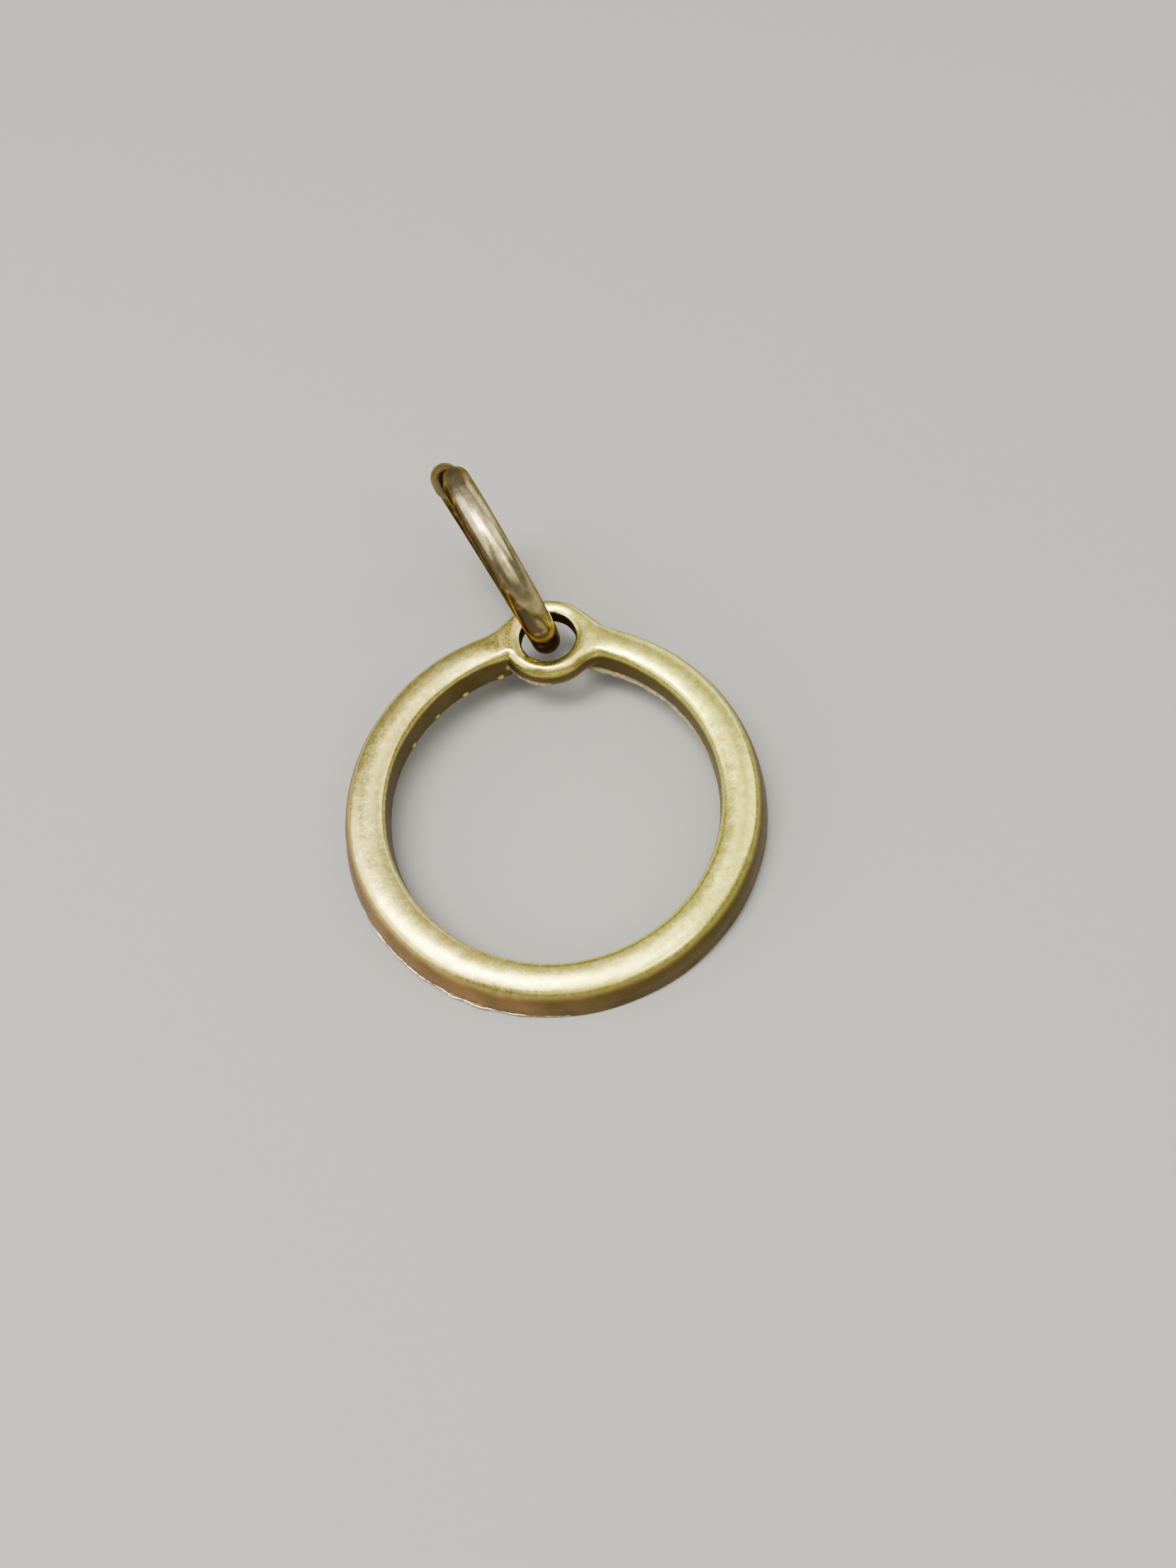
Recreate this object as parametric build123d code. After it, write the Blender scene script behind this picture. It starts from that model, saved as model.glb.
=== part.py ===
from build123d import *
import os
from math import asin, atan2, cos, degrees, radians, sin, sqrt

# Open circle pendant: a small cast circle with an eyelet in its upper end, and a round-wire jump
# ring that passes through the eyelet. It lies face up. The jump ring stands in the eyelet and goes
# under its outer rim, so it lifts the upper end of the circle off the surface a little.
# Millimetres. The circle and the ring are built round the circle's centre, with the flat back in
# the XY plane, +Z out of the front and the eyelet towards +Y, and are then laid on the surface.

# Circle. Its walls lean in towards the front like a casting's, and its shoulders are rounded.
circle_diameter = 15.0
band_width = 1.66
band_height = 1.3
outer_wall_draft = 14.0
inner_wall_draft = 7.0
outer_shoulder_radius = 0.55
inner_shoulder_radius = 0.45

# Eyelet, cast into the band. Its rim is thinner than the band and starts above the flat back.
hole_diameter = 2.08
hole_from_center = 6.48
rim_diameter = 3.5
rim_shift_outward = 0.06
rim_thickness = 0.85
rim_wall_draft = 3.0
outer_blend_radius = 0.7
inner_blend_radius = 0.45
hole_front_radius = 0.05
hole_countersink = 0.2

# Jump ring
ring_diameter = 8.0
wire_diameter = 1.1
seam_gap = 0.05
seam_side_step = 0.25

# How the jump ring stands in the eyelet. Angles in degrees. Round the ring they are counted from
# its highest point.
ring_clearance = 0.08
ring_axis_azimuth = 24.8
ring_axis_elevation = 10.3
rim_contact_azimuth = 108.2
rim_contact_slope = 36.9
contact_angle_on_ring = 126.4
seam_angle_on_ring = -27.6

# The lift of the circle's upper end is found by halving a range of tilts.
steepest_tilt = 45.0
tilt_halvings = 40

# Worked out from the sizes above
outer_radius = circle_diameter / 2
inner_radius = outer_radius - band_width
hole_radius = hole_diameter / 2
rim_radius = rim_diameter / 2
rim_from_center = hole_from_center + rim_shift_outward
rim_back = band_height - rim_thickness
wire_radius = wire_diameter / 2
ring_radius = ring_diameter / 2 - wire_radius


def direction(azimuth, elevation):
    """Unit vector at an azimuth from +X and an elevation above the back plane, in degrees."""
    level = cos(radians(elevation))
    return Vector(
        level * cos(radians(azimuth)), level * sin(radians(azimuth)), sin(radians(elevation))
    )


def make_band():
    """The plain circle, flat at the back and sharp-edged in front."""
    blank = extrude(Circle(outer_radius), band_height, taper=outer_wall_draft)
    opening = extrude(Circle(inner_radius), band_height, taper=-inner_wall_draft)
    return blank - opening


def blended(body, on_outside, radius):
    """Rounds the two creases between the band and the eyelet on one side of the band."""
    band_middle = outer_radius - band_width / 2
    rising = [edge for edge in body.edges() if edge.bounding_box().size.Z > band_height / 2]
    creases = [
        edge
        for edge in rising
        if edge.geom_type != GeomType.LINE
        and (Vector(edge.center().X, edge.center().Y).length > band_middle) == on_outside
    ]
    return fillet(creases, radius)


def make_open_circle():
    """The casting: band and eyelet, flat at the back, with softly rounded shoulders in front."""
    band = make_band()
    rim_place = Pos(0, rim_from_center)
    body = band + extrude(rim_place * Circle(rim_radius), band_height, taper=rim_wall_draft)
    body = blended(body, True, outer_blend_radius)
    body = blended(body, False, inner_blend_radius)
    front = body.faces().sort_by(Axis.Z)[-1]
    body = fillet(front.outer_wire().edges(), outer_shoulder_radius)
    front = body.faces().sort_by(Axis.Z)[-1]
    body = fillet(front.inner_wires()[0].edges(), inner_shoulder_radius)
    back_of_rim = Plane.XY.offset(rim_back)
    body = split(body, back_of_rim, keep=Keep.TOP) + split(band, back_of_rim, keep=Keep.BOTTOM)
    return body - eyelet_hole()


def eyelet_hole():
    """The hole with its front edge softened and its back edge countersunk, as one turned tool."""
    front = band_height - hole_front_radius
    sink = rim_back + hole_countersink
    with BuildSketch(Plane.XZ) as half_section:
        with BuildLine():
            bore = Polyline(
                (0, band_height),
                (0, 0),
                (hole_radius + sink, 0),
                (hole_radius, sink),
                (hole_radius, front),
            )
            edge = RadiusArc(
                bore @ 1, (hole_radius + hole_front_radius, band_height), -hole_front_radius
            )
            Line(edge @ 1, bore @ 0)
        make_face()
    return Pos(0, hole_from_center, 0) * revolve(half_section.sketch, Axis.Z)


def ring_frame():
    """The jump ring's own frame: Z is its axis, and X points to its highest point."""
    axis = direction(ring_axis_azimuth, ring_axis_elevation)
    highest = (Vector(0, 0, 1) - axis * axis.Z).normalized()
    return Plane((0, 0, 0), x_dir=highest, z_dir=axis)


def ring_center():
    """Places the ring so that the wire just clears the sharp lower edge inside the eyelet."""
    outward = direction(rim_contact_azimuth, 0)
    edge = Vector(0, hole_from_center, rim_back + hole_countersink) + outward * hole_radius
    to_wire = direction(rim_contact_azimuth + 180, -rim_contact_slope)
    wire_center = edge + to_wire * (wire_radius + ring_clearance)
    frame = ring_frame()
    angle = radians(contact_angle_on_ring)
    return wire_center - (frame.x_dir * cos(angle) + frame.y_dir * sin(angle)) * ring_radius


def half_ring(start_angle):
    """Half the wire, from one angle on the ring to just short of the opposite side."""
    sweep = 180 - degrees(seam_gap / 2 / ring_radius)
    section = Plane.XZ * Pos(ring_radius, 0) * Circle(wire_radius)
    return Rot(0, 0, start_angle) * revolve(section, Axis.Z, sweep)


def make_jump_ring():
    """Two half rings that are one wire opposite the seam and stand a step apart at the seam."""
    joined_angle = seam_angle_on_ring + 180
    upper_half = half_ring(joined_angle)
    lower_half = mirror(upper_half, Plane.XZ.rotated((0, 0, joined_angle)))
    joined = Vector(ring_radius, 0, 0).rotate(Axis.Z, joined_angle)
    tangent = Vector(0, 1, 0).rotate(Axis.Z, joined_angle)
    opening_angle = degrees(asin(seam_side_step / (2 * ring_radius)))
    upper_half = upper_half.rotate(Axis(joined, tangent), -opening_angle)
    frame = ring_frame()
    frame.origin = ring_center()
    return frame.location * (upper_half + lower_half)


def resting_plane():
    """The surface that touches both the circle's back edge and the jump ring from below."""
    axis = ring_frame().z_dir
    center = ring_center()
    lowest = center - ring_frame().x_dir * ring_radius
    towards_ring = degrees(atan2(lowest.Y, lowest.X))
    low, high = 0.0, steepest_tilt
    for _ in range(tilt_halvings):
        tilt = (low + high) / 2
        up = direction(towards_ring, 90 - tilt)
        ring_reach = ring_radius * sqrt(1 - up.dot(axis) ** 2) + wire_radius
        ring_height = up.dot(center) - ring_reach
        edge_height = -outer_radius * sin(radians(tilt))
        if ring_height < edge_height:
            low = tilt
        else:
            high = tilt
    up = direction(towards_ring, 90 - tilt)
    across = direction(towards_ring - 90, 0)
    return Plane(up * edge_height, x_dir=across, z_dir=up), towards_ring - 90


def lay_down(pieces):
    """Sets the pieces on the surface z = 0, with the origin under the middle of their box."""
    surface, turn = resting_plane()
    laid = [Rot(0, 0, turn) * surface.location.inverse() * piece for piece in pieces]
    box = laid[0].bounding_box().add(laid[1].bounding_box())
    middle = box.center()
    return [Pos(-middle.X, -middle.Y, -box.min.Z) * piece for piece in laid]


open_circle, jump_ring = lay_down([make_open_circle(), make_jump_ring()])

os.makedirs("parts", exist_ok=True)
export_step(open_circle, "parts/open_circle.step")
export_step(jump_ring, "parts/jump_ring.step")
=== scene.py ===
from math import cos, pi, radians, sin

import bpy
import numpy as np
from mathutils import Matrix, Vector


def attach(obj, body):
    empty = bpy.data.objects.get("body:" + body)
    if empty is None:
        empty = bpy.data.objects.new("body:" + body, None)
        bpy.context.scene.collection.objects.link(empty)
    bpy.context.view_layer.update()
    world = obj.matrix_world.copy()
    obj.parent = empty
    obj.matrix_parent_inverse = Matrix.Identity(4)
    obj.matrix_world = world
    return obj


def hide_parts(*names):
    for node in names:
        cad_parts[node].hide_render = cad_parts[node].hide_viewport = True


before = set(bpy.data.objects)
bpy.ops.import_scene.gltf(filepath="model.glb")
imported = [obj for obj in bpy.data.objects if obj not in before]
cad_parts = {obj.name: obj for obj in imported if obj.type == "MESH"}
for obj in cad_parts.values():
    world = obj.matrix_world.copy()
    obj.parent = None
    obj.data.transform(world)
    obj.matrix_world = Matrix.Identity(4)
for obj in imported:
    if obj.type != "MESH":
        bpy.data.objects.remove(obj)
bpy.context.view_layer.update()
MM = 0.001

# Sizes in millimetres. The casting is drawn flat, with the middle of the circle's back at the
# origin, its front towards +Z and its eyelet towards +Y. The main sizes are the solids' own. The
# crown, the drafts and the shoulders are softer and less even than theirs, as on the real casting.
CIRCLE_RADIUS = 7.5
OPENING_RADIUS = 5.84
BAND_HEIGHT = 1.3
CROWN_RADIUS = 1.3
CROWN_MIDDLE = 6.5
OUTER_DRAFT = radians(14.0)
INNER_DRAFT = radians(4.0)
INNER_DRAFT_CHANGE = radians(3.0)
OUTER_SHOULDER = 0.35
LEFT_INNER_SHOULDER = 0.16
RIGHT_INNER_SHOULDER = 0.28
HOLE_RADIUS = 1.04
HOLE_OUT = 6.48
RIM_RADIUS = 1.75
RIM_OUT = 6.54
RIM_FRONT = 1.3
RIM_CREST = 1.42
RIM_BACK = 0.45
RIM_DRAFT = radians(3.0)
RIM_SHOULDER = 0.36
COUNTERSINK = 0.2
OUTER_BLEND = 0.75
RIGHT_INNER_BLEND = 0.5
LEFT_INNER_BLEND = 0.1
SHARP_EDGE = 0.05
HOLE_DOME = 0.8
RIM_DOME = 0.25

# Lumps of metal at the foot of the inner wall, as angle round the circle and radius.
NUBS = ((108.9, 0.12), (123.4, 0.12), (136.7, 0.1), (150.9, 0.1))
TORN_LUMPS = 0.022

# Where a mark or a tear rises to its full strength and where it fades again: angles in degrees
# round the circle or the hole, distances from the middle of the circle or the rim, and heights.
RIGHT_TEAR_ANGLES = (8, 22, 68, 82)
RIGHT_TEAR_FADES_OUT = (5.95, 6.1)
RIGHT_TEAR_FADES_UP = (0.2, 0.3)
RIM_TEAR_ANGLES = (196, 212, 262, 278)
RIM_TEAR_REACH = (1.55, 1.65, 1.8, 1.9)
RIM_TEAR_HEIGHTS = (0.38, 0.44, 0.54, 0.62)
FLECKED_ANGLES = (156, 176, 200, 226)

# The skin of the casting is made of squares this wide, and in one round of drawing it onto the
# true shape a point moves at most this far.
SKIN_STEP = 0.06
SAME_POINT = 0.0005

# Flash: a ragged thread along the foot of the outer wall, where the mould parts. Its start and
# sweep are angles, its raggedness is in millimetres, and its sink is a share of the arc's radius.
FLASH_HEIGHT = 0.07
FLASH_SIZES = {
    "Arc radius": 7.475, "Start": radians(196), "Sweep": radians(84), "Thickness": 0.045,
    "Raggedness": 0.3, "Sink": 0.007,
}
FLASH_POINTS = 420
FLASH_SIDES = 8

# The jump ring, of round wire. Its radius is that of the wire's middle line.
RING_SIZES = {"Ring radius": 3.45, "Wire radius": 0.55, "Seam gap": 0.05, "Seam step": 0.25}
SEAM_ANGLE = radians(-27.6)
CUT_END_SHARE = 0.93
RING_POINTS = 361
WIRE_SIDES = 56

# Where the wire is painted lighter, partly its polish and partly painted light: on what faces
# this way, more and more between these heights, and between these shares of its length towards
# its far cut end. Elsewhere it is painted brown, partly tarnish and partly painted shade.
PAINTED_LIGHT_WAY = np.array((0.35, 0.0, 0.94))
PAINTED_LIGHT_HEIGHTS = (2.6 * MM, 5.0 * MM)
LIGHTER_END = (0.82, 0.9)

# How the casting lies: its eyelet end is lifted by the jump ring under it.
LIFT = radians(5.5726)
LIFT_TOWARDS = radians(96.553)
BACK_MIDDLE = Vector((0.0, -2.6417, 0.7354))
RING_MIDDLE = Vector((-1.6341, 6.4498, 3.9267))
RING_AXIS = Vector((0.8953, 0.3940, 0.2079))


def lying_matrix():
    """From the casting as drawn, in millimetres, to the casting as it lies, in metres."""
    hinge = Vector((sin(LIFT_TOWARDS), -cos(LIFT_TOWARDS), 0.0))
    lifted = Matrix.Rotation(LIFT, 4, hinge)
    return Matrix.Scale(MM, 4) @ Matrix.Translation(BACK_MIDDLE) @ lifted


LYING = lying_matrix()


# Finishes

# The sockets of a node that mixes two colours. They go by number, because its sockets for other
# kinds of value have the same names.
SHARE, UNDER, OVER, MIXTURE = 0, 6, 7, 2


def linear(hex_colour):
    """An sRGB hex colour as linear red, green, blue and alpha."""
    out = []
    for start in (1, 3, 5):
        c = int(hex_colour[start:start + 2], 16) / 255
        out.append(c / 12.92 if c <= 0.04045 else ((c + 0.055) / 1.055) ** 2.4)
    return (*out, 1.0)


def add(tree, kind, settings=None, inputs=None, stops=()):
    """Adds a node with its settings and its inputs, each a plain value or a socket to link, and
    with the stops of its colour ramp, each a position and a hex colour or a grey level."""
    node = tree.nodes.new(kind)
    for name, value in (settings or {}).items():
        setattr(node, name, value)
    for name, value in (inputs or {}).items():
        if isinstance(value, bpy.types.NodeSocket):
            tree.links.new(value, node.inputs[name])
        else:
            node.inputs[name].default_value = value
    for _ in stops[2:]:
        node.color_ramp.elements.new(0.5)
    for number, (position, tone) in enumerate(stops):
        element = node.color_ramp.elements[number]
        element.position = position
        element.color = linear(tone) if isinstance(tone, str) else (tone, tone, tone, 1.0)
    return node


def empty_material(name):
    """A new material without nodes, and its tree."""
    material = bpy.data.materials.new(name)
    material.use_nodes = True
    material.node_tree.nodes.clear()
    return material, material.node_tree


def give_surface(tree, inputs):
    """Ends a material in one shader with its inputs."""
    shader = add(tree, "ShaderNodeBsdfPrincipled", inputs=inputs)
    add(tree, "ShaderNodeOutputMaterial", inputs={"Surface": shader.outputs["BSDF"]})


def satin_cast_gold():
    """Pale olive-yellow gold plate on a tumbled casting. The eye sees a satin shine broken by a
    grain about 0.1 mm across, with warm yellow flecks at the far left and greener gold on the
    right. The tumbling hardly reached the walls, so they are dull and brown, and their dark tone
    is also painted shade. The outer wall at the near left is pinker and lighter, partly as
    painted light from the left; the hole is painted dark as painted shade; and the foot is pale
    and broken where it is torn."""
    material, tree = empty_material("satin_cast_gold")
    place = add(tree, "ShaderNodeTexCoord").outputs["Object"]
    # The first mark is 1 on the worn front and 0 on the walls, whose dark tone is partly their own
    # and partly painted shade.
    rubbed_and_painted_shade, flecked, rosy_painted_light, bore, torn = (
        add(tree, "ShaderNodeAttribute", {"attribute_name": name}).outputs["Fac"]
        for name in ("rubbed_and_painted_shade", "flecked", "rosy_painted_light", "bore", "torn")
    )
    aside = add(tree, "ShaderNodeSeparateXYZ", inputs={"Vector": place}).outputs["X"]
    rightness = add(tree, "ShaderNodeMapRange", inputs={
        "Value": aside, "From Min": -4 * MM, "From Max": 4 * MM,
    }).outputs["Result"]

    # Soft patches, by how many millimetres they are across and how finely they are broken.
    grain, specks, flecks, clouds, tears = (
        add(tree, "ShaderNodeTexNoise", inputs={
            "Vector": place, "Scale": 1 / (across * MM), "Detail": detail,
        }).outputs["Fac"]
        for across, detail in ((0.1, 2.0), (0.24, 2.0), (0.17, 2.0), (1.6, 2.0), (0.12, 3.0))
    )

    # Tones and finishes, each by the patches that it follows. A finish is a roughness.
    tone = {
        name: add(tree, "ShaderNodeValToRGB", inputs={"Fac": patches}, stops=stops).outputs[0]
        for name, patches, stops in (
            ("plain left", specks, [(0.34, "#D6C268"), (0.5, "#DECE70"), (0.66, "#EADD86")]),
            ("flecked left", flecks, [
                (0.3, "#E0B87A"), (0.41, "#E8D068"), (0.55, "#DCD47A"), (0.68, "#F4EEA4"),
            ]),
            ("right", specks, [(0.34, "#DDD45E"), (0.5, "#E9E06A"), (0.66, "#F4EE88")]),
            # The wall tones are dark partly as the untumbled skin and partly as painted shade.
            ("plain wall", clouds, [(0.35, "#54461F"), (0.55, "#5E4F2A"), (0.7, "#665030")]),
            # Painted light, partly: the pinker, lighter wall tone for the near-left outer wall,
            # where light falls from the left.
            ("rosy wall", clouds, [(0.35, "#6C5632"), (0.5, "#80643C"), (0.65, "#967248")]),
            ("torn", tears, [(0.36, "#B09A78"), (0.52, "#CCB892"), (0.68, "#E6DAC0")]),
            ("raw finish", grain, [(0.3, 0.4), (0.7, 0.55)]),
            ("rubbed finish", grain, [(0.3, 0.2), (0.7, 0.31)]),
        )
    }
    # Painted shade: a dark tone for the hole, where shade falls.
    tone["painted hole shade"] = linear("#40372A")

    # What each mixture is made of: the share of the second of its two tones.
    for name, share, under, over in (
        ("left", flecked, "plain left", "flecked left"),
        ("front", rightness, "left", "right"),
        ("wall", rosy_painted_light, "plain wall", "rosy wall"),
        ("skin", rubbed_and_painted_shade, "wall", "front"),
        ("skin and hole", bore, "skin", "painted hole shade"),
        ("colour", torn, "skin and hole", "torn"),
        ("finish", rubbed_and_painted_shade, "raw finish", "rubbed finish"),
    ):
        tone[name] = add(tree, "ShaderNodeMix", {"data_type": "RGBA"}, {
            SHARE: share, UNDER: tone[under], OVER: tone[over],
        }).outputs[MIXTURE]
    relief = add(tree, "ShaderNodeMath", {"operation": "ADD"}, {0: grain, 1: specks}).outputs[0]
    dents = add(tree, "ShaderNodeBump", inputs={
        "Height": relief, "Strength": 0.3, "Distance": 0.008 * MM,
    }).outputs["Normal"]
    give_surface(tree, {
        "Base Color": tone["colour"], "Roughness": tone["finish"], "Normal": dents,
        "Metallic": 1.0,
    })
    return material


def torn_flash_gold():
    """Gold plate on the thin flash along the mould's parting line. The eye sees a pale broken
    line, because its torn edge glitters."""
    material, tree = empty_material("torn_flash_gold")
    place = add(tree, "ShaderNodeTexCoord").outputs["Object"]
    tears = add(tree, "ShaderNodeTexNoise", inputs={
        "Vector": place, "Scale": 1 / (0.3 * MM), "Detail": 2.0,
    }).outputs["Fac"]
    tone = add(
        tree, "ShaderNodeValToRGB", inputs={"Fac": tears},
        stops=[(0.35, "#A0845A"), (0.5, "#D8C7A2"), (0.65, "#F2EAD8")],
    ).outputs["Color"]
    give_surface(tree, {"Base Color": tone, "Roughness": 0.35, "Metallic": 1.0})
    return material


def polished_gold_wire():
    """Drawn gold-plated wire with a polish, handled since. The eye sees soft white reflections on
    the upper side, painted lighter there as painted light, and below and in the hole brown with
    amber spots about 0.5 mm apart, partly tarnish and partly painted shade."""
    material, tree = empty_material("polished_gold_wire")
    place = add(tree, "ShaderNodeTexCoord").outputs["Object"]
    # This mark is 1 where the wire is painted lighter, partly polish and partly painted light, and
    # 0 where it is painted brown, partly tarnish and partly painted shade.
    painted_light_and_polish = add(tree, "ShaderNodeAttribute", {"attribute_name": "painted_light_and_polish"}).outputs["Fac"]
    stains, scuffs = (
        add(tree, "ShaderNodeTexNoise", inputs={
            "Vector": place, "Scale": 1 / (across * MM), "Detail": 2.0,
        }).outputs["Fac"]
        for across in (0.5, 0.12)
    )
    painted_light_tone, brown, finish = (
        add(tree, "ShaderNodeValToRGB", inputs={"Fac": patches}, stops=stops).outputs["Color"]
        for patches, stops in (
            (stains, [(0.34, "#A09068"), (0.5, "#B2A478"), (0.66, "#C2B68C")]),
            # Brown below: partly tarnish and partly painted shade.
            (stains, [(0.4, "#5A4E3C"), (0.56, "#6C5C44"), (0.68, "#A48E62")]),
            (scuffs, [(0.35, 0.17), (0.7, 0.27)]),
        )
    )
    tone = add(tree, "ShaderNodeMix", {"data_type": "RGBA"}, {
        SHARE: painted_light_and_polish, UNDER: brown, OVER: painted_light_tone,
    }).outputs[MIXTURE]
    scratches = add(tree, "ShaderNodeBump", inputs={
        "Height": scuffs, "Strength": 0.15, "Distance": 0.004 * MM,
    }).outputs["Normal"]
    give_surface(tree, {
        "Base Color": tone, "Roughness": finish, "Normal": scratches, "Metallic": 1.0,
        "Specular Tint": linear("#A0937C"),
    })
    return material


def pale_card():
    """Matt pale card under the object."""
    material, tree = empty_material("pale_card")
    give_surface(tree, {"Base Color": linear("#868682"), "Roughness": 0.8})
    return material


# Points of a mesh

def read(collection, key, width, kind=float):
    """One property of a mesh's points or edges, as a row of values for each."""
    values = np.zeros(len(collection) * width, kind)
    collection.foreach_get(key, values)
    return values.reshape(-1, width)


def mark(mesh, name, values):
    """Stores a number at each point, for a material to read."""
    mesh.attributes.new(name, "FLOAT", "POINT").data.foreach_set("value", values)


def between(low, high, x):
    """Smooth step from 0 at low to 1 at high."""
    t = np.clip((x - low) / (high - low), 0, 1)
    return t * t * (3 - 2 * t)


def stretch(limits, x):
    """Rises from 0 to 1 between the first two limits and falls back between the last two."""
    start, full, fading, gone = limits
    return between(start, full, x) * (1 - between(fading, gone, x))


# The casting

def rounded_meet(a, b, radius):
    """Distance outside both of two shapes, with a round edge where they meet."""
    outside = np.hypot(np.maximum(radius + a, 0), np.maximum(radius + b, 0))
    return np.minimum(np.maximum(a, b), -radius) + outside


def rounded_join(a, b, radius):
    """Distance outside two joined shapes, with a round hollow where they meet."""
    inside = np.hypot(np.maximum(radius - a, 0), np.maximum(radius - b, 0))
    return np.maximum(np.minimum(a, b), radius) - inside


def hand_waviness(p, seed, count, wavelength):
    """A soft unevenness of about plus or minus one, from a few waves in fixed directions."""
    draw = np.random.default_rng(seed)
    total = np.zeros(len(p))
    for _ in range(count):
        way = draw.normal(size=3)
        way *= 2 * pi / (wavelength * draw.uniform(0.7, 1.5) * np.linalg.norm(way))
        total += np.sin(p @ way + draw.uniform(0, 2 * pi))
    return total / np.sqrt(count)


def torn_foot(p):
    """Where the foot of a wall is torn metal: on the right inside, and left under the eyelet."""
    x, y, z = p.T
    round_circle = np.degrees(np.arctan2(y, x))
    round_hole = np.degrees(np.arctan2(y - HOLE_OUT, x)) % 360
    inside = 1 - between(*RIGHT_TEAR_FADES_OUT, np.hypot(x, y))
    low = 1 - between(*RIGHT_TEAR_FADES_UP, z)
    right = stretch(RIGHT_TEAR_ANGLES, round_circle) * inside * low
    under = stretch(RIM_TEAR_ANGLES, round_hole)
    under = under * stretch(RIM_TEAR_REACH, np.hypot(x, y - RIM_OUT))
    under = under * stretch(RIM_TEAR_HEIGHTS, z)
    return np.maximum(right, under)


def casting_distance(p):
    """Distance outside the casting's skin, in millimetres, at points of the drawn casting."""
    x, y, z = p.T
    from_middle = np.hypot(x, y)
    from_hole = np.hypot(x, y - HOLE_OUT)
    from_rim_middle = np.hypot(x, y - RIM_OUT)
    sideways = (x ** 2 - y ** 2) / np.maximum(from_middle, 1) ** 2
    inner_draft = INNER_DRAFT - INNER_DRAFT_CHANGE * sideways
    outer_wall = (z * np.tan(OUTER_DRAFT) - (CIRCLE_RADIUS - from_middle)) * cos(OUTER_DRAFT)
    inner_wall = (z * np.tan(inner_draft) - (from_middle - OPENING_RADIUS)) * cos(INNER_DRAFT)
    rim_wall = (z * np.tan(RIM_DRAFT) - (RIM_RADIUS - from_rim_middle)) * cos(RIM_DRAFT)
    band = np.maximum(outer_wall, inner_wall)

    outward = between(6.2, 7.0, from_middle)
    rightward = between(-0.6, 0.6, x)
    near_rim = 1 - between(RIM_RADIUS - 0.3, RIM_RADIUS + 0.9, from_rim_middle)
    inner_blend = LEFT_INNER_BLEND + (RIGHT_INNER_BLEND - LEFT_INNER_BLEND) * rightward
    blend = inner_blend + (OUTER_BLEND - inner_blend) * outward
    outline = rounded_join(band, rim_wall, blend)

    crown_height = z - BAND_HEIGHT + CROWN_RADIUS
    crown = np.hypot(from_middle - CROWN_MIDDLE, crown_height) - CROWN_RADIUS
    past_crest = from_hole - RIM_CREST
    drop = HOLE_DOME * np.clip(past_crest, -0.4, 0) ** 2
    drop = drop + RIM_DOME * np.clip(past_crest, 0, 0.4) ** 2
    front = crown + (z - RIM_FRONT + drop - crown) * near_rim
    toward_light = between(-0.3, 0.6, (x - 0.5 * y) / np.maximum(from_middle, 1))
    inner_shoulder = LEFT_INNER_SHOULDER + (
        RIGHT_INNER_SHOULDER - LEFT_INNER_SHOULDER
    ) * toward_light
    shoulder = inner_shoulder + (OUTER_SHOULDER - inner_shoulder) * outward
    shoulder = shoulder + (RIM_SHOULDER - shoulder) * near_rim

    plain_back = rounded_meet(band, -z, SHARP_EDGE)
    rim_back = rounded_meet(outline, RIM_BACK - z, SHARP_EDGE)
    body = rounded_join(plain_back, rim_back, SHARP_EDGE)
    body = rounded_meet(body, front, shoulder)

    bore = from_hole - HOLE_RADIUS
    sink = (bore - (RIM_BACK + COUNTERSINK - z)) * cos(pi / 4)
    body = rounded_meet(body, -np.minimum(bore, sink), SHARP_EDGE)
    for angle, size in NUBS:
        out = OPENING_RADIUS + 0.3 * size
        middle = np.array((out * cos(radians(angle)), out * sin(radians(angle)), 0.8 * size))
        body = rounded_join(body, np.linalg.norm(p - middle, axis=1) - size, 0.1)
    lumps = np.clip(1 + 0.6 * hand_waviness(p, 21, 40, 0.4), 0, 2)
    body = body - TORN_LUMPS * torn_foot(p) * lumps
    return body + 0.007 * hand_waviness(p, 4, 12, 2.4) + 0.003 * hand_waviness(p, 9, 16, 0.7)


def slope(distance, p, step=0.004):
    """Slope of a distance at each point, by small steps each way."""
    columns = []
    for axis in np.eye(3):
        columns.append((distance(p + step * axis) - distance(p - step * axis)) / (2 * step))
    return np.stack(columns, axis=1)


def drawn_to(distance, p, rounds, longest):
    """Moves points straight onto the skin where the distance is nought."""
    for _ in range(rounds):
        way = slope(distance, p)
        size = np.maximum((way ** 2).sum(1), 0.04)
        move = way * (distance(p) / size)[:, None]
        length = np.linalg.norm(move, axis=1, keepdims=True)
        p = p - move * np.minimum(1, longest / np.maximum(length, 1e-9))
    return p


def neighbour_mean(p, edges):
    """Mean of each point's neighbours."""
    total = np.zeros_like(p)
    count = np.zeros(len(p))
    for a, b in (edges.T, edges.T[::-1]):
        np.add.at(total, a, p[b])
        np.add.at(count, a, 1)
    return total / count[:, None]


def even_skin():
    """A closed skin of even small squares over the solid casting, lifted off and drawn flat."""
    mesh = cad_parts["open_circle"].data.copy()
    casting = bpy.data.objects.new("cast_circle", mesh)
    bpy.context.scene.collection.objects.link(casting)
    mesh.transform(LYING.inverted())
    weld = casting.modifiers.new("weld", "WELD")
    weld.merge_threshold = SAME_POINT
    skin = casting.modifiers.new("skin", "REMESH")
    skin.mode = "VOXEL"
    skin.voxel_size = SKIN_STEP
    skin.adaptivity = 0.0
    graph = bpy.context.evaluated_depsgraph_get()
    casting_mesh = bpy.data.meshes.new_from_object(casting.evaluated_get(graph))
    casting.modifiers.clear()
    casting.data = casting_mesh
    casting_mesh.name = "cast_circle"
    return casting


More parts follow.
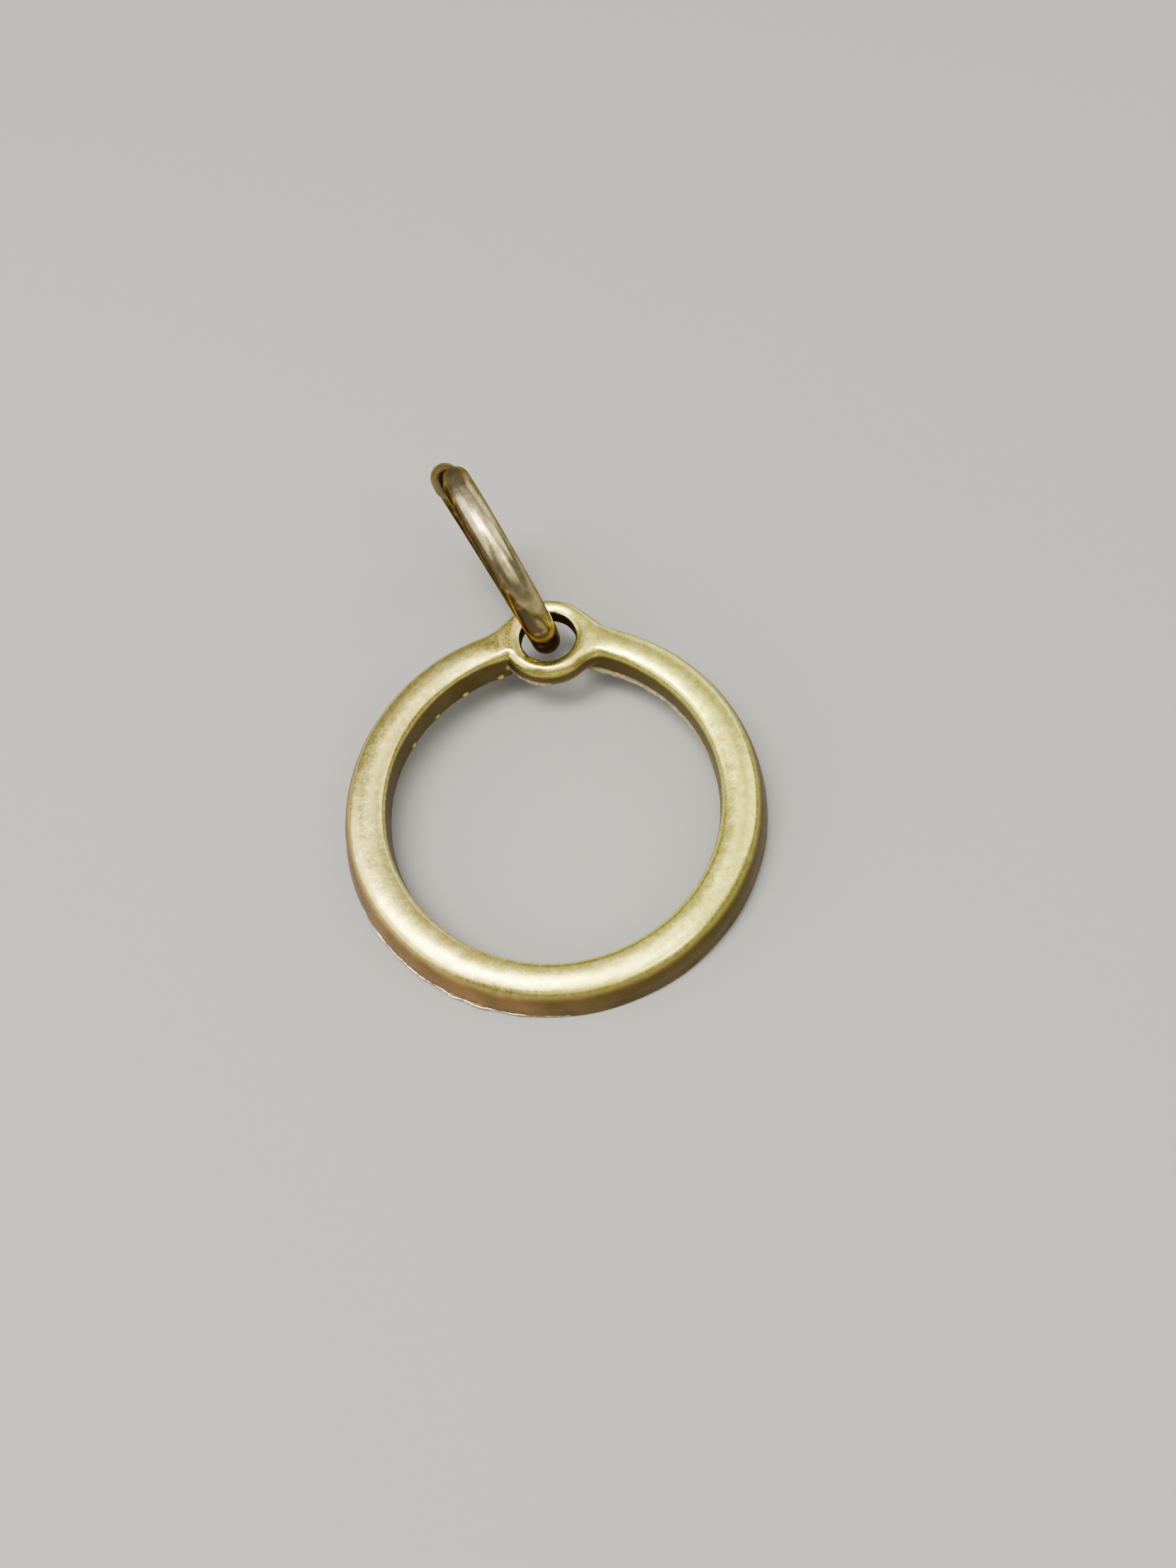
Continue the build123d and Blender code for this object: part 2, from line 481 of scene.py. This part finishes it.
def mark_finish(mesh, p):
    """Marks where the casting is worn bright, with its walls left dark partly as painted shade;
    where it is flecked; its hole, painted dark as painted shade; where it is torn; and its
    near-left outer wall, painted pinker and lighter, partly as painted light.
    """
    way = slope(casting_distance, p, 0.05)
    facing = way[:, 2] / np.linalg.norm(way, axis=1)
    from_middle = np.hypot(p[:, 0], p[:, 1])
    from_hole = np.hypot(p[:, 0], p[:, 1] - HOLE_OUT)
    angle = np.degrees(np.arctan2(p[:, 1], p[:, 0])) % 360
    raised = between(0.35, 0.7, p[:, 2])
    proud = between(0.0, 0.05, OPENING_RADIUS - from_middle)
    near_left = between(0.2, 0.8, (-0.8 * p[:, 0] - 0.6 * p[:, 1]) / from_middle)
    outside = between(6.2, 6.9, from_middle)
    # Level, raised faces count as worn bright; the walls left out take the dark wall tone, partly
    # painted shade.
    facing_up = between(0.12 + 0.3 * outside, 0.5 + 0.35 * outside, facing)
    mark(mesh, "rubbed_and_painted_shade", facing_up * np.maximum(raised, proud))
    mark(mesh, "flecked", stretch(FLECKED_ANGLES, angle))
    # The hole is painted dark here as painted shade.
    mark(mesh, "bore", 1 - between(HOLE_RADIUS + 0.01, HOLE_RADIUS + 0.07, from_hole))
    mark(mesh, "torn", np.maximum(torn_foot(p), 0.4 * proud * (1 - raised)))
    # The near-left outer wall is painted pinker and lighter, partly its own tone and partly
    # painted light from the left.
    mark(mesh, "rosy_painted_light", near_left * between(6.6, 7.0, from_middle))


def make_casting(material):
    """Even skin over the solid, with each point then drawn onto the casting's true shape."""
    casting = even_skin()
    mesh = casting.data
    p = read(mesh.vertices, "co", 3)
    edges = read(mesh.edges, "vertices", 2, int)
    p = drawn_to(casting_distance, p, 6, SKIN_STEP)

    # The squares are evened out, and each time their points go back onto the shape.
    for _ in range(4):
        p = p + 0.5 * (neighbour_mean(p, edges) - p)
        p = drawn_to(casting_distance, p, 2, SKIN_STEP)
    p = drawn_to(casting_distance, p, 3, SKIN_STEP)
    mesh.vertices.foreach_set("co", p.ravel())
    mark_finish(mesh, p)
    mesh.transform(LYING)
    mesh.shade_smooth()
    mesh.materials.clear()
    mesh.materials.append(material)
    mesh.update()
    return casting


# Pieces that follow a path

def path_tree(name, sizes):
    """A new tree with a named input for each size and one output of geometry."""
    tree = bpy.data.node_groups.new(name, "GeometryNodeTree")
    for label, value in sizes.items():
        socket = tree.interface.new_socket(label, in_out="INPUT", socket_type="NodeSocketFloat")
        socket.default_value = value
    tree.interface.new_socket("Geometry", in_out="OUTPUT", socket_type="NodeSocketGeometry")
    return tree, add(tree, "NodeGroupInput").outputs


def finish_wire(tree, path, radius, sides, material):
    """Gives a path a round section and closed ends, makes it real, gives it its material and
    hands it out."""
    section = add(tree, "GeometryNodeCurvePrimitiveCircle", inputs={
        "Resolution": sides, "Radius": radius,
    }).outputs["Curve"]
    wire = add(tree, "GeometryNodeCurveToMesh", inputs={
        "Curve": path, "Profile Curve": section, "Fill Caps": True,
    }).outputs["Mesh"]
    real = add(tree, "GeometryNodeRealizeInstances", inputs={"Geometry": wire}).outputs[0]
    finished = add(tree, "GeometryNodeSetMaterial", inputs={
        "Geometry": real, "Material": material,
    }).outputs["Geometry"]
    add(tree, "NodeGroupOutput", inputs={"Geometry": finished})
    return tree


def grown(name, tree, sizes):
    """The plain mesh that a tree makes with its sizes, as an object in millimetres round the
    origin."""
    piece = bpy.data.objects.new(name, bpy.data.meshes.new(name + "_start"))
    bpy.context.scene.collection.objects.link(piece)
    modifier = piece.modifiers.new("shape", "NODES")
    modifier.node_group = tree
    for socket in tree.interface.items_tree:
        if socket.name in sizes:
            modifier[socket.identifier] = sizes[socket.name]
    graph = bpy.context.evaluated_depsgraph_get()
    mesh = bpy.data.meshes.new_from_object(piece.evaluated_get(graph))
    piece.modifiers.clear()
    piece.data = mesh
    mesh.name = name
    return piece


def flash_tree(material):
    """A thread along an arc, whose path and thickness jump about at random. Its ends get thin and
    sink into the casting by a share of the arc's radius."""
    tree, given = path_tree("ragged_flash", FLASH_SIZES)
    arc = add(tree, "GeometryNodeCurveArc", {"mode": "RADIUS"}, {
        "Resolution": FLASH_POINTS, "Radius": given["Arc radius"],
        "Start Angle": given["Start"], "Sweep Angle": given["Sweep"],
    }).outputs["Curve"]
    place = add(tree, "GeometryNodeInputPosition").outputs["Position"]
    along = add(tree, "GeometryNodeSplineParameter").outputs["Factor"]
    half_turn = add(
        tree, "ShaderNodeMath", {"operation": "MULTIPLY"}, {0: along, 1: pi},
    ).outputs[0]
    taper = add(tree, "ShaderNodeMath", {"operation": "SINE"}, {0: half_turn}).outputs[0]

    # The path strays to all sides, least at its ends, and the ends go inward.
    strays = add(tree, "ShaderNodeTexNoise", inputs={
        "Vector": place, "Scale": 1.3, "Detail": 2.5, "Roughness": 0.6,
    }).outputs["Color"]
    centred = add(tree, "ShaderNodeVectorMath", {"operation": "SUBTRACT"}, {
        0: strays, 1: (0.5, 0.5, 0.5),
    }).outputs[0]
    straggling = add(tree, "ShaderNodeMath", {"operation": "MULTIPLY"}, {
        0: taper, 1: given["Raggedness"],
    }).outputs[0]
    offset = add(tree, "ShaderNodeVectorMath", {"operation": "SCALE"}, {
        0: centred, "Scale": straggling,
    }).outputs[0]
    short_of_full = add(
        tree, "ShaderNodeMath", {"operation": "SUBTRACT"}, {0: taper, 1: 1.0},
    ).outputs[0]
    sunk = add(tree, "ShaderNodeMath", {"operation": "MULTIPLY"}, {
        0: short_of_full, 1: given["Sink"],
    }).outputs[0]
    inward = add(tree, "ShaderNodeVectorMath", {"operation": "SCALE"}, {
        0: place, "Scale": sunk,
    }).outputs[0]
    moved = add(
        tree, "ShaderNodeVectorMath", {"operation": "ADD"}, {0: offset, 1: inward},
    ).outputs[0]
    bent = add(tree, "GeometryNodeSetPosition", inputs={
        "Geometry": arc, "Offset": moved,
    }).outputs["Geometry"]

    # The thread is bare where the noise is low, swells steeply above that, and is never gone.
    lumps = add(tree, "ShaderNodeTexNoise", inputs={
        "Vector": place, "Scale": 1.7, "Detail": 1.5, "Roughness": 0.6,
    }).outputs["Fac"]
    over_bare = add(
        tree, "ShaderNodeMath", {"operation": "SUBTRACT"}, {0: lumps, 1: 0.32},
    ).outputs[0]
    steep = add(
        tree, "ShaderNodeMath", {"operation": "MULTIPLY"}, {0: over_bare, 1: 4.0},
    ).outputs[0]
    tapered = add(
        tree, "ShaderNodeMath", {"operation": "MULTIPLY"}, {0: steep, 1: taper},
    ).outputs[0]
    thick = add(
        tree, "ShaderNodeMath", {"operation": "MAXIMUM"}, {0: tapered, 1: 0.05},
    ).outputs[0]
    swelling = add(tree, "GeometryNodeSetCurveRadius", inputs={
        "Curve": bent, "Radius": thick,
    }).outputs["Curve"]
    return finish_wire(tree, swelling, given["Thickness"], FLASH_SIDES, material)


def make_flash(material):
    """The thread, at its height above the casting's back."""
    flash = grown("outer_flash", flash_tree(material), FLASH_SIZES)
    flash.data.transform(LYING @ Matrix.Translation((0.0, 0.0, FLASH_HEIGHT)))
    flash.data.shade_smooth()
    return flash


# The jump ring

def ring_tree(material):
    """Wire bent round into a ring whose ends stand a step apart at the seam."""
    tree, given = path_tree("jump_ring_wire", RING_SIZES)
    opening = add(tree, "ShaderNodeMath", {"operation": "DIVIDE"}, {
        0: given["Seam gap"], 1: given["Ring radius"],
    }).outputs[0]
    sweep = add(
        tree, "ShaderNodeMath", {"operation": "SUBTRACT"}, {0: 2 * pi, 1: opening},
    ).outputs[0]
    arc = add(tree, "GeometryNodeCurveArc", {"mode": "RADIUS"}, {
        "Resolution": RING_POINTS, "Radius": given["Ring radius"], "Sweep Angle": sweep,
    }).outputs["Curve"]

    # The first half of the wire lies flat, and the second turns softly aside by the step.
    along = add(tree, "GeometryNodeSplineParameter").outputs["Factor"]
    from_half = add(
        tree, "ShaderNodeMath", {"operation": "SUBTRACT"}, {0: along, 1: 0.5},
    ).outputs[0]
    past_half = add(
        tree, "ShaderNodeMath", {"operation": "MAXIMUM"}, {0: from_half, 1: 0.0},
    ).outputs[0]
    turn = add(
        tree, "ShaderNodeMath", {"operation": "MULTIPLY"}, {0: past_half, 1: 2 * pi},
    ).outputs[0]
    still_flat = add(tree, "ShaderNodeMath", {"operation": "COSINE"}, {0: turn}).outputs[0]
    turned = add(
        tree, "ShaderNodeMath", {"operation": "SUBTRACT"}, {0: 1.0, 1: still_flat},
    ).outputs[0]
    share = add(
        tree, "ShaderNodeMath", {"operation": "MULTIPLY"}, {0: turned, 1: -0.5},
    ).outputs[0]
    sideways = add(tree, "ShaderNodeMath", {"operation": "MULTIPLY"}, {
        0: share, 1: given["Seam step"],
    }).outputs[0]
    offset = add(tree, "ShaderNodeCombineXYZ", inputs={"Z": sideways}).outputs[0]
    bent = add(tree, "GeometryNodeSetPosition", inputs={
        "Geometry": arc, "Offset": offset,
    }).outputs["Geometry"]
    ends = add(tree, "GeometryNodeCurveEndpointSelection", inputs={
        "Start Size": 1, "End Size": 1,
    }).outputs["Selection"]
    softened = add(tree, "GeometryNodeSetCurveRadius", inputs={
        "Curve": bent, "Selection": ends, "Radius": CUT_END_SHARE,
    }).outputs["Curve"]
    return finish_wire(tree, softened, given["Wire radius"], WIRE_SIDES, material)


def mark_tarnish_and_painted_light(mesh):
    """Marks where the wire is painted lighter: on its upper side, partly its polish and partly
    painted light, and on its far cut end. The rest is painted brown, partly tarnish and partly
    painted shade.
    """
    height = read(mesh.vertices, "co", 3)[:, 2]
    facing = read(mesh.vertices, "normal", 3) @ PAINTED_LIGHT_WAY
    # Painted light: faces turned this way and points higher up get the lighter tone.
    upper = between(0.1, 0.65, facing) * between(*PAINTED_LIGHT_HEIGHTS, height)
    along = np.arange(len(upper)) / len(upper)
    mark(mesh, "painted_light_and_polish", np.maximum(upper, between(*LIGHTER_END, along)))


def make_jump_ring(material):
    """The bent wire, standing in place and turned so that its seam is at the upper left."""
    ring = grown("jump_ring_wire", ring_tree(material), RING_SIZES)
    front = (LYING.to_3x3() @ Vector((0, 0, 1))).normalized()
    highest = (front - RING_AXIS * front.dot(RING_AXIS)).normalized()
    standing = Matrix((highest, RING_AXIS.cross(highest), RING_AXIS)).transposed().to_4x4()
    first_end = SEAM_ANGLE + 0.5 * RING_SIZES["Seam gap"] / RING_SIZES["Ring radius"]
    place = Matrix.Scale(MM, 4) @ Matrix.Translation(RING_MIDDLE) @ standing
    ring.data.transform(place @ Matrix.Rotation(first_end, 4, "Z"))
    ring.data.shade_smooth()
    for polygon in ring.data.polygons:
        is_cut_end = len(polygon.vertices) == WIRE_SIDES
        polygon.use_smooth = not is_cut_end
    mark_tarnish_and_painted_light(ring.data)
    return ring


# Camera and studio

# The photograph's frame in pixels, with the pixel where the middle of the circle's back lies.
PHOTO_WIDTH, PHOTO_HEIGHT = 1659, 2212
FOCAL_LENGTH = 1661
MIDDLE_ACROSS, MIDDLE_DOWN = 782.65, 1141.69

# Where the camera stands, seen from the middle of the casting as drawn, in millimetres.
CAMERA_RISE = radians(63.95)
CAMERA_TURN = radians(5.10)
CAMERA_ROLL = radians(-7.97)
CAMERA_AWAY = 41.756

SENSOR_HEIGHT = 36.0
WARM_WHITE = "#FFFDF6"
CREAM_WHITE = "#FFFCF0"
FLOOR_REACH = 0.4
ROOM_LIGHT = 0.3


def make_camera():
    """The photograph's view: close, and from near above the open circle."""
    level_share = cos(CAMERA_RISE)
    back = Vector((
        sin(CAMERA_TURN) * level_share, -cos(CAMERA_TURN) * level_share, sin(CAMERA_RISE)
    ))
    level = Vector((cos(CAMERA_TURN), sin(CAMERA_TURN), 0.0))
    right = Matrix.Rotation(CAMERA_ROLL, 3, back) @ level
    up = back.cross(right)
    aside = (MIDDLE_ACROSS - PHOTO_WIDTH / 2) / FOCAL_LENGTH
    above = (PHOTO_HEIGHT / 2 - MIDDLE_DOWN) / FOCAL_LENGTH
    away = back - aside * right - above * up
    data = bpy.data.cameras.new("camera")
    data.sensor_fit = "VERTICAL"
    data.sensor_height = SENSOR_HEIGHT
    data.lens = SENSOR_HEIGHT * FOCAL_LENGTH / PHOTO_HEIGHT
    data.clip_start = 0.001
    camera = bpy.data.objects.new("camera", data)
    bpy.context.scene.collection.objects.link(camera)
    turn = LYING.to_3x3() * (1 / MM) @ Matrix((right, up, back)).transposed()
    camera.matrix_world = Matrix.Translation(LYING @ (away * CAMERA_AWAY)) @ turn.to_4x4()
    bpy.context.scene.camera = camera


def softbox(name, way, distance, size, power, colour):
    """An even flat light that faces the pendant from a direction, in metres and watts."""
    data = bpy.data.lights.new(name, "AREA")
    data.shape = "RECTANGLE"
    data.size, data.size_y = size
    data.energy = power
    data.color = linear(colour)[:3]
    light = bpy.data.objects.new(name, data)
    bpy.context.scene.collection.objects.link(light)
    way = Vector(way).normalized()
    light.matrix_world = (
        Matrix.Translation(way * distance) @ way.to_track_quat("Z", "Y").to_matrix().to_4x4()
    )


def make_studio():
    """Pale floor, a soft key light above to the left, a bright ceiling, dimmer walls and windows
    at the sides, and a small lamp at the near right."""
    mesh = bpy.data.meshes.new("floor")
    reach = FLOOR_REACH
    mesh.from_pydata(
        [(-reach, -reach, 0), (reach, -reach, 0), (reach, reach, 0), (-reach, reach, 0)], [],
        [(0, 1, 2, 3)],
    )
    mesh.materials.append(pale_card())
    floor = bpy.data.objects.new("floor", mesh)
    bpy.context.scene.collection.objects.link(floor)
    softbox("key", (-0.33, -0.09, 0.94), 0.3, (0.1, 0.2), 1.6, WARM_WHITE)
    softbox("near_key", (0.02, -0.24, 0.97), 0.3, (0.16, 0.1), 0.45, WARM_WHITE)
    softbox("near_ceiling", (0.12, -0.16, 0.97), 0.5, (0.5, 0.6), 1.45, CREAM_WHITE)
    softbox("far_ceiling", (0.0, 0.5, 0.87), 0.5, (0.5, 0.3), 0.2, CREAM_WHITE)
    softbox("near_wall", (0.30, -0.74, 0.6), 0.5, (0.6, 0.26), 0.45, CREAM_WHITE)
    softbox("left_window", (-0.816, -0.144, 0.56), 0.42, (0.46, 0.42), 1.7, WARM_WHITE)
    softbox("right_window", (0.70, 0.26, 0.67), 0.4, (0.2, 0.26), 0.42, WARM_WHITE)
    softbox("far_window", (0.47, 0.82, 0.35), 0.45, (0.3, 0.26), 0.36, WARM_WHITE)
    softbox("lamp", (0.465, -0.508, 0.725), 0.3, (0.08, 0.08), 0.12, "#FFF6E0")
    world = bpy.data.worlds.new("studio")
    world.use_nodes = True
    glow = world.node_tree.nodes["Background"]
    glow.inputs["Color"].default_value = linear("#FFFFFF")
    glow.inputs["Strength"].default_value = ROOM_LIGHT
    bpy.context.scene.world = world


make_camera()
make_studio()

casting = make_casting(satin_cast_gold())
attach(casting, "root")
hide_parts("open_circle")

flash = make_flash(torn_flash_gold())
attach(flash, "root")

jump_ring = make_jump_ring(polished_gold_wire())
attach(jump_ring, "root")
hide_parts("jump_ring")
